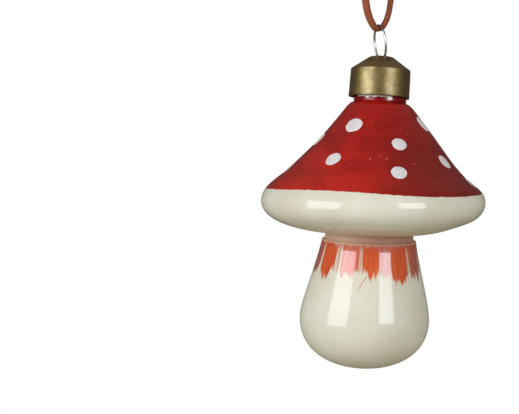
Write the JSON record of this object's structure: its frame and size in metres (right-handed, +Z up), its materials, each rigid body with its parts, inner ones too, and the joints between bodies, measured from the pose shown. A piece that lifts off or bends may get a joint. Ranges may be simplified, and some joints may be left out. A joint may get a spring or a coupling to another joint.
{
  "type": "glass mushroom ornament",
  "caption": "Hanging blown-glass mushroom with a spotted red cap and ivory stem, a metal crown over its neck, a wire bail and a suede lace loop.",
  "frame": {"origin": "the point inside the top of the lace loop, under its knot, where a hook or twig holds the ornament", "axes": "+Z up along the axis of the glass, +Y along the wire of the bail's eye, +X across the lace loop"},
  "size_m": [0.0712, 0.0712, 0.183],
  "materials": {
    "suede": "napped suede, reddish brown",
    "spring_wire": "drawn wire, warm grey",
    "antique_brass": "aged brass plate, satin",
    "painted_glass": "opaque painted glass, glossy"
  },
  "bodies": {
    "cord": {"cord_loop": "suede", "cord_knot": "suede", "cord_tail_left": "suede", "cord_tail_right": "suede"},
    "bail": {"wire_bail": "spring_wire"},
    "crown": {"crown_cap": "antique_brass"},
    "glass": {"glass_body": "painted_glass"}
  },
  "joints": [
    {"name": "bail_swing", "type": "hinge", "parent": "cord", "child": "bail", "pos_m": [-0.00191, 0, -0.04939], "axis": [0, 1, 0], "range_deg": [-65, 80]},
    {"name": "bail_turn", "type": "hinge", "parent": "bail", "child": "crown", "pos_m": [0, 0, -0.0592], "axis": [0, 0, 1], "continuous": true},
    {"name": "crown_pull", "type": "slide", "parent": "crown", "child": "glass", "axis": [0, 0, -1], "range_m": [0, 0.03]}
  ]
}
